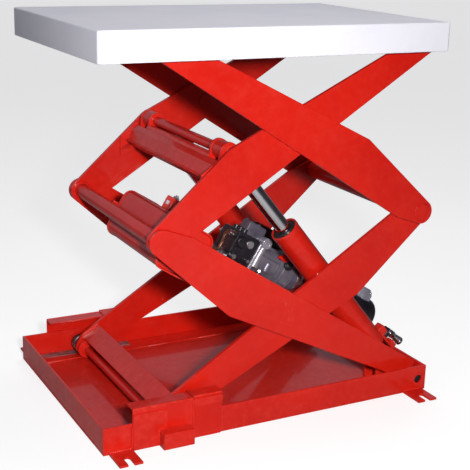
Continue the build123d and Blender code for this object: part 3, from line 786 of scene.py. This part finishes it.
def make_manifold():
    """Pump block with its plugs, and the relief valve's housing."""
    (s0, s1), (n0, n1), (y0, y1) = lower_outer.span("pump_manifold")
    block = unit_piece("pump_block", "black_paint")
    place = to_front((s0 + s1) / 2, (n0 + n1) / 2, 0)
    w, h = s1 - s0, n1 - n0
    block.add(prism(rectangle(w, h, 7), -y1, -y0), place)
    block.add(prism(rectangle(w * 0.42, h * 0.3, 5), -y0, -y0 + 7), place @ moved(-14, -10, 0))
    block.add(turned([(-6, 15), (5, 15), (6.5, 13.4)], 36), to_front(s0 + 20, n1 - 24, y0))
    for y in (y0 + 12, y0 + 34, y0 + 58):
        block.add(turned([(-3, 7.5), (9, 7.5), (10, 6.2)], 24), on_leg(s0 + 18, n1, y))
    block.done(bevel=0.8, replaces=("pump_manifold",))

    plugs = unit_piece("pump_block_plugs", "machined_steel")
    spots = ((s1 - 29, n1 - 20, 10.5), (s0 + 14, n0 + 20, 7.0), (s1 - 13, n0 + 26, 5.0))
    for s, n, r in spots:
        spot = to_front(s, n, y0)
        plugs.add(turned([(-1, r), (8.5, r), (9.5, r * 0.9)], 32), spot)
        plugs.add(turned_ring([(9.2, r * 0.42), (9.2, r * 0.88), (10.6, r * 0.8), (10.6, r * 0.46)], 6), spot)
    plugs.done()

    # relief valve housing on top of the block, reaching over the bell housing's flange
    valve = unit_piece("relief_valve_housing", "grey_paint")
    first, last, rise = s1 - 50, s1 + 6, 34
    seat = on_leg((first + last) / 2, n1, y0 + 30)
    reach = last - first
    outline = rectangle(reach, 40, 3)
    valve.add(stacked([(outline, -1), (outline, rise - 4), (rectangle(reach - 5, 35, 3), rise)]), seat)
    valve.add(turned([(0, 8), (8, 8), (9, 6.8)], 6), down_leg(last, n1 + 20, y0 + 30))
    for x in (-reach / 2 + 8, reach / 2 - 8):
        valve.add(turned([(rise - 1, 4), (rise + 3, 4), (rise + 3.6, 3.2)], 6),
                  seat @ moved(x, 12, 0))
    valve.done(bevel=1.0)


def make_bell():
    """Housing between pump and motor, its flange, and a black sheet behind it that is painted shade."""
    s0, s1 = lower_outer.span("bell_housing")[0]
    n, y = UNIT
    bell = unit_piece("cast_bell_housing", "cast_aluminium")
    place = unit_axes(s0, n, y)
    end = s1 - s0
    bell.add(turned([(8, 44), (24, 43.5), (46, 41.5), (end - 18, 40.5), (end - 14, 42), (end - 13, 46),
                     (end - 8, 47.5), (end - 2, 47.5), (end, 46)], 72), place)
    ribs = 8
    rib = [(42, 8), (48, 9), (46.5, 40), (45.5, end - 12), (39, end - 12)]
    for i in range(ribs):
        turn = place @ spun(tau * (i + 0.5) / ribs)
        bell.add(prism(rib, -2.4, 2.4), turn @ Matrix.Rotation(pi / 2, 4, "X"))
    bell.add(turned([(0, 9), (3, 11), (24, 11), (26, 9)], 32),
             on_leg(s0 + 58, n - 22, y - 34))
    # square flange with a lifting eye on its upper front corner and a rib below the eye, in a lighter casting
    # finish: partly machined faces, partly painted highlight
    rim = unit_piece("bell_flange", "casting_painted_highlight")
    rim.add(stacked([(rectangle(92, 96, 12), 0.2), (rectangle(94, 98, 13), 1), (rectangle(94, 98, 13), 8),
                     (rectangle(91, 95, 12), 9)]), place)
    eye_s, eye_n, eye_y = s0 + 11, n + 45, y - 45
    eye = axes(lower_outer.at(eye_s, eye_n, eye_y), -Y, lower_outer.n)
    rim.add(turned([(-14, 13), (8, 13), (8.2, 14.4), (12, 14.4), (13.4, 13)], 48), eye)
    rim.add(turned_ring([(12.8, 5.5), (12.8, 9.5), (15, 9), (15, 6.4)], 40), eye)
    rim.add(turned([(0, 8), (4, 10.5), (34, 10), (60, 9)], 32),
            on_leg(eye_s + 2, eye_n - 62, eye_y + 1))
    foot = lower_outer.at(eye_s + 2, eye_n - 68, eye_y + 1)
    rim.add(turned([(0, 12), (10, 12), (12, 10)], 32), axes(foot, lower_outer.n, Y))
    rim.done(bevel=0.8)
    bell.done(replaces=("bell_housing",))

    bolts = unit_piece("bell_bolts", "machined_steel")
    for across in (-1, 1):
        for up in (-1, 1):
            add_bolt(bolts, place @ moved(38 * up, 39 * across, 9), 10)
    add_bolt(bolts, axes(lower_outer.at(eye_s + 22, eye_n - 74, eye_y - 6), lower_outer.n, Y), 10)
    bolts.done()

    # black sheet behind the housing, reaching back to the pump block: painted shade where the gap behind the
    # power unit lies in shadow
    bracket = unit_piece("painted_shade_sheet", "black_paint")
    plate = rounded([(s0 - 20, n - 20, 6), (s1 + 10, n - 20, 6), (s1 + 56, n + 28, 10), (s1 + 40, n + 66, 10),
                     (s0 + 86, n + 86, 12), (s0 + 20, n + 84, 12), (s0 - 20, n + 60, 10)])
    bracket.add(prism(plate, 28, 34), to_front(0, 0, 0))
    bracket.done(bevel=1.0)


def make_motor():
    """Finned shell and drive end, and the band with what it holds."""
    s0, s1 = lower_outer.span("drive_motor")[0]
    n, y = UNIT
    length = s1 - s0
    place = unit_axes(s0, n, y)
    radius = MOTOR_R
    body = unit_piece("motor_shell", "grey_paint")
    body.add(turned([(30, radius - 2), (31, radius - 1), (length - 26, radius - 1), (length - 25, radius),
                     (length - 1, radius), (length, radius - 1)], 96), place)
    fins = 28
    full, thin = rectangle(2.8, 3.0, 0.5, 2), rectangle(2.2, 3.0, 0.5, 2)
    for i in range(fins):
        fin = place @ spun(tau * (i + 0.5) / fins) @ moved(radius - 1.4, 0, 0)
        body.add(stacked([(thin, 96), (full, 98), (full, length - 40), (thin, length - 38)]), fin)
    body.done(replaces=("drive_motor",))
    head = unit_piece("motor_drive_end", "cast_aluminium")
    head.add(turned([(0, 40), (0.5, 46), (4, 49.5), (18, 50.5), (20, 49), (30, 49), (32, 51.5),
                     (34, 51.5)], 72), place)
    for i in range(6):
        turn = place @ spun(tau * i / 6)
        head.add(turned([(4, 5.5), (29, 5.5), (30, 4.5)], 20), turn @ moved(48.5, 0, 0))
    head.done()
    band = unit_piece("motor_band", "machined_steel")
    under = radius - 1.2
    strap = [(52, under), (52, radius + 0.2), (53, radius + 0.6), (66, radius + 0.6),
             (67, radius + 0.2), (67, under)]
    band.add(turned_ring(strap, 96), place)
    band.add(turned_ring([(74, under), (74, radius - 0.2), (78, radius - 0.2), (78, under)], 96), place)
    for i in range(2):
        clamp = place @ spun(radians(208 + 18 * i)) @ moved(radius, 0, 59.5)
        band.add(turned([(0, 3.4), (3.4, 3.4), (4.2, 2.4)], 20), clamp @ Matrix.Rotation(pi / 2, 4, "Y"))
    band.done()
    # painted bracket that the band holds, standing up beside the ram
    tab = unit_piece("motor_band_bracket", "red_enamel")
    outline = rounded([(-36, 28, 2), (-6, 60, 2), (12, 50, 2), (20, 14, 3), (8, 8, 3), (0, 26, 4)], 3)
    tab.add(prism(outline, 0, 5), to_front(s0, n, y - 44))
    tab.done(bevel=0.8)
    cable_entry = unit_piece("motor_terminal_boot", "black_plastic")
    entry_way = (lower_outer.n - 2.2 * Y).normalized()
    cable_entry.add(turned([(0, 13), (6, 13), (7, 11.5), (10, 11), (12, 9), (13, 4)], 32),
                    axes(lower_outer.at(s0 + 8, n + 22, y - 45), entry_way, lower_outer.s))
    cable_entry.done()


def make_motor_end():
    """Fan cover, and the conduit box beside it."""
    s0, s1 = lower_outer.span("motor_end_cap")[0]
    n, y = UNIT
    place = unit_axes(s0, n, y)
    depth = s1 - s0
    cap = unit_piece("motor_fan_cover", "black_paint")
    profile = [(0, MOTOR_R - 0.6), (depth - 12, MOTOR_R - 1)]
    for k in range(7):
        a = pi / 2 * k / 6
        profile.append((depth - 12 + 12 * sin(a), MOTOR_R - 13 + 12 * cos(a)))
    profile += [(depth, 30), (depth - 1.6, 29), (depth - 1.6, 16), (depth - 0.4, 15), (depth, 2)]
    cap.add(turned(profile, 72), place)
    cap.done(replaces=("motor_end_cap",))
    screws = unit_piece("fan_cover_screws", "machined_steel")
    for i in range(4):
        turn = place @ spun(tau * (i + 0.5) / 4)
        add_bolt(screws, turn @ moved(34.5, 0, depth - 0.6), 7, 4)
    screws.done()

    (s0, s1), (_, n1), (y0, y1) = lower_outer.span("conduit_box")
    box_piece = unit_piece("conduit_housing", "grey_conduit")
    half = (s1 - s0) / 2
    corner_r = half / cos(pi / 8)
    octagon = [(corner_r * cos(pi / 8 + tau * i / 8), corner_r * sin(pi / 8 + tau * i / 8)) for i in range(8)]
    inner = [(x * 0.9, v * 0.9) for x, v in octagon]
    lid = [(x * 0.97, v * 0.97) for x, v in octagon]
    facing = to_front((s0 + s1) / 2, n1 - half - 1, y1)
    depth = y1 - y0
    box_piece.add(stacked([(inner, 0), (octagon, 1.5), (octagon, depth - 5), (lid, depth - 4.4),
                           (lid, depth - 1.2), (inner, depth)]), facing)
    box_piece.add(turned([(depth - 1, 13.5), (depth + 0.4, 13.5), (depth + 1.4, 12.8)], 40), facing)
    box_piece.add(turned_ring([(depth + 1.2, 9.0), (depth + 1.2, 11.2), (depth + 2.2, 10.8),
                               (depth + 2.2, 9.4)], 40), facing)
    box_piece.done(replaces=("conduit_box",))
    lid_screws = unit_piece("conduit_screws", "machined_steel")
    for sx, sy in ((-1, -1), (1, 1)):
        lid_screws.add(turned([(depth - 1, 3.2), (depth + 0.6, 3.2), (depth + 1.3, 2.2)], 20),
                       facing @ moved(sx * half * 0.62, sy * half * 0.62, 0))
    lid_screws.done()
    gland = unit_piece("conduit_gland", "black_plastic")
    entry = down_leg(s1 - 0.6, n1 - half - 1, (y0 + y1) / 2)
    gland.add(stacked([(disc(10, 6), 0), (disc(10, 6), 6), (disc(8.5, 6), 7)]), entry)
    gland.add(turned([(6, 8), (11, 8), (13, 6.4), (13, 4)], 28), entry)
    gland.done()


def make_fittings():
    """Suction pipe, two unions in the pump block and the copper return pipe between tank and block."""
    (s0, _), (n0, n1), (y0, y1) = lower_outer.span("pump_manifold")
    tank_end = lower_outer.span("oil_tank")[0][1]
    n, y = UNIT
    steel = unit_piece("hydraulic_unions", "machined_steel")
    suction = down_leg(tank_end - 2, n - 32, y - 20)
    run = s0 - tank_end + 4
    steel.add(turned([(0, 15), (8, 15), (8.6, 14), (12, 11), (run - 14, 11), (run - 12, 13),
                      (run - 11, 14.5), (run, 14.5)], 40), suction)
    for s, up in ((s0 + 18, 20), (s0 + 50, -8)):
        spot = axes(lower_outer.at(s, n + up, y1), Y, lower_outer.s)
        steel.add(stacked([(disc(10.5, 6), 0), (disc(10.5, 6), 10), (disc(9.2, 6), 11)]), spot)
        steel.add(turned([(11, 6.8), (14, 6.8), (14.6, 8.8), (26, 8.8), (27.5, 7.4)], 28), spot)
    port = axes(lower_outer.at(s0 + 2, n1 - 16, y0 + 16), -lower_outer.s, Y)
    steel.add(stacked([(disc(10.5, 6), 0), (disc(10.5, 6), 9), (disc(9, 6), 10)]), port)
    steel.add(turned([(10, 7.5), (17, 7.5), (18, 6.2)], 28), port)
    steel.done(replaces=("hydraulic_fittings",))

    pipe = unit_piece("copper_return_pipe", "copper")
    line = [(s0 - 14, n1 - 16, y0 + 16), (s0 - 22, n1 - 16, y0 + 15), (s0 - 29, n1 - 26, y0 + 10),
            (s0 - 30, n1 - 50, y0 + 2), (s0 - 44, n0 + 14, y0 - 2), (tank_end - 2, n0 + 12, y0 - 2)]
    pipe.add(swept(smooth_line([lower_outer.at(*p) for p in line]), 4.0, 16))
    pipe.done()


def smooth_line(points, steps=8):
    """Catmull-Rom line through the points."""
    ends = [points[0] * 2 - points[1]] + list(points) + [points[-1] * 2 - points[-2]]
    line = []
    for a, b, c, d in zip(ends, ends[1:], ends[2:], ends[3:]):
        for k in range(steps):
            t = k / steps
            line.append(0.5 * (2 * b + (c - a) * t + (2 * a - 5 * b + 4 * c - d) * t ** 2
                               + (3 * b - a - 3 * c + d) * t ** 3))
    return line + [points[-1]]


# ---- base ----
def make_base_welds():
    """Beads where the base's plates, tabs, ears and stub tube meet."""
    welds = Piece("base_welds", "red_enamel", "base")
    low, high = box("base_rail_front")
    web = low.y
    rail_thick, tab_width = 6, 58
    inside = web + rail_thick
    pan_edge = high.y
    # tabs to the rail, end plates to the rails, and stitches between floor and flange
    tab_low, tab_high = box("anchor_tabs")
    for x in (tab_low.x, tab_high.x - tab_width):
        welds.add(bead([(x + 2, web - 0.5, tab_high.z), (x + 56, web - 0.5, tab_high.z)], 3.2))
    for x in (low.x + 6, high.x - 6):
        welds.add(bead([(x, inside, 9), (x, inside, high.z - 3)], 3.2))
    for x in range(-400, 401, 160):
        welds.add(bead([(x - 26, pan_edge, 4.6), (x + 26, pan_edge, 4.6)], 2.8))
    guard_low, guard_high = box("roller_guard_front")
    for x in (guard_low.x, guard_high.x):
        welds.add(bead([(x, web - 1.5, 8), (x, web - 1.5, 60)], 2.6))
    welds.add(bead([(guard_low.x + 4, web - 4.4, 3), (guard_high.x - 4, web - 4.4, 3)], 1.8))
    ear_low, ear_high = box("cylinder_base_ears")
    ear_thick, ears_width = 10, 62
    for y in (ear_low.y, ear_low.y + ear_thick, ear_low.y + ears_width - ear_thick, ear_low.y + ears_width):
        welds.add(bead([(ear_low.x, y, ear_low.z + 1), (ear_high.x, y, ear_low.z + 1)], 2.8))
    welds.mirrored()
    stub_low, stub_high = box("front_stub_tube")
    for x in (stub_low.x, stub_high.x):
        welds.add(bead([(x, stub_high.y, 5), (x, stub_high.y, stub_high.z - 2)], 2.2))
    welds.done()


def make_guard_folds():
    """Rolled edges of the covers over the rollers and the seam where their two halves meet."""
    folds = Piece("guard_folds", "red_enamel", "base")
    low, high = box("roller_guard_front")
    seam, long_top, short_top = -231.0, 106.0, 110.0
    face = low.y + 4
    for x0, x1, top in ((low.x, seam, long_top), (seam + 0.4, high.x, short_top)):
        folds.add(swept([(x0 + 1, face + 1.2, top - 1.6), (x1 - 1, face + 1.2, top - 1.6)], 2.6, 12))
    folds.add(swept([(seam - 1, face - 0.8, 6), (seam - 1, face - 0.8, 100)], 1.8, 10))
    folds.mirrored()
    folds.done()


def make_pins():
    """Split pins in the lower axle's ends and the collars that keep it in the legs."""
    rings = Piece("axle_split_pins", "machined_steel", "lower_inner_legs")
    hub = centre("base_roller_front")
    eye = Vector((hub.x, box("lower_roller_axle")[0].y + 1.4, hub.z))
    for angle in (0.4, 0.4 + pi):
        way = Vector((cos(angle), 0, sin(angle)))
        rings.add(swept([eye, eye + way * 16], 1.3, 10))
    rings.mirrored()
    rings.done()
    seats = Piece("lower_axle_collars", "red_enamel", "lower_inner_legs")
    inner = box("lower_inner_leg_rear")[0].y
    collar = turned_ring([(0, 10.1), (0, 18), (-12, 18), (-13, 24), (-14, 25), (-20, 25), (-21, 24),
                          (-21.5, 15), (-24, 13), (-24, 10.1)])
    seats.add(collar, axes(Vector((hub.x, inner, hub.z)), Y, X))
    seats.mirrored()
    seats.done()


# ---- stage, light and camera ----
def make_stage():
    """Pale floor, pale surroundings and two soft lamps."""
    mesh = bpy.data.meshes.new("floor")
    bm = bmesh.new()
    bmesh.ops.create_grid(bm, x_segments=1, y_segments=1, size=40)
    bm.to_mesh(mesh)
    bm.free()
    floor = bpy.data.objects.new("floor", mesh)
    floor.location.z = -0.0006
    bpy.context.scene.collection.objects.link(floor)
    pale = Finish("pale_floor", roughness=0.75)
    seen = pale.mix(pale.ramp(pale.noise(0.7, 3), 0.3, 0.7), (0.40, 0.40, 0.405), (0.44, 0.44, 0.44))
    # pale when seen straight or reflected, darker as a source of bounced light
    path = pale.node("ShaderNodeLightPath")
    pale.colour(pale.mix(path.outputs["Is Diffuse Ray"], seen, (0.12, 0.115, 0.13)))
    pale.link((1, 1, 1, 1), pale.shader.inputs["Emission Color"])
    glow = pale.ramp(path.outputs["Is Camera Ray"], 0, 1, 0.0, 0.68)
    pale.link(glow, pale.shader.inputs["Emission Strength"])
    mesh.materials.append(pale.material)

    world = bpy.data.worlds.new("studio")
    bpy.context.scene.world = world
    world.use_nodes = True
    sky = world.node_tree.nodes["Background"]
    sky.inputs["Color"].default_value = (0.86, 0.88, 1.0, 1)
    # pale walls behind the table and to its left, seen as reflections in the paint
    tree = world.node_tree
    way = tree.nodes.new("ShaderNodeSeparateXYZ")
    tree.links.new(tree.nodes.new("ShaderNodeTexCoord").outputs["Generated"], way.inputs[0])
    both = tree.nodes.new("ShaderNodeMath")
    for place, (axis, near, far, glow) in enumerate((("Y", 0.35, 0.75, 0.42), ("X", -0.5, -0.85, 0.31))):
        wall = tree.nodes.new("ShaderNodeMapRange")
        for i, number in enumerate((near, far, 0.02, glow)):
            wall.inputs[i + 1].default_value = number
        tree.links.new(way.outputs[axis], wall.inputs[0])
        tree.links.new(wall.outputs[0], both.inputs[place])
    # seen straight, the surroundings are as pale as the floor
    seen_sky = tree.nodes.new("ShaderNodeMath")
    seen_sky.operation = "MAXIMUM"
    tree.links.new(both.outputs[0], seen_sky.inputs[0])
    tree.links.new(tree.nodes.new("ShaderNodeLightPath").outputs["Is Camera Ray"], seen_sky.inputs[1])
    tree.links.new(seen_sky.outputs[0], sky.inputs["Strength"])
    bpy.context.scene.view_settings.view_transform = "Standard"

    softbox("key_softbox", (-0.92, -2.5, 1.32), (-0.1, 0, 0.4), 0.2, 80)
    softbox("top_softbox", (0.6, 0.5, 2.9), (0.2, 0, 0.6), 1.0, 22)


def softbox(name, place, target, size, power):
    """Square area lamp aimed at a target."""
    light = bpy.data.lights.new(name, "AREA")
    light.size = size
    light.energy = power
    lamp = bpy.data.objects.new(name, light)
    lamp.location = place
    lamp.rotation_euler = (Vector(place) - Vector(target)).to_track_quat("Z", "Y").to_euler()
    bpy.context.scene.collection.objects.link(lamp)


def make_camera():
    """Long lens, level apart from a slight roll, looking down at the table's left front corner."""
    yaw, pitch, roll = 0.487, -0.285, 0.027
    look = Vector((sin(yaw) * cos(pitch), cos(yaw) * cos(pitch), sin(pitch)))
    right = look.cross(Z).normalized()
    up = right.cross(look)
    right, up = right * cos(roll) + up * sin(roll), up * cos(roll) - right * sin(roll)
    camera = bpy.data.cameras.new("camera")
    camera.sensor_width = 36.0
    camera.lens = 82.28
    camera.clip_end = 200
    obj = bpy.data.objects.new("camera", camera)
    stand = moved(-1.2433, -2.4162, 1.1919)
    obj.matrix_world = stand @ Matrix((right, up, -look)).transposed().to_4x4()
    bpy.context.scene.collection.objects.link(obj)
    bpy.context.scene.camera = obj



dress_nodes()
make_platform()
make_lift_beam()
make_rams()
make_ram_ports()
make_tank()
make_coil()
make_manifold()
make_bell()
make_motor()
make_motor_end()
make_fittings()
make_base_welds()
make_guard_folds()
make_pins()
make_stage()
make_camera()
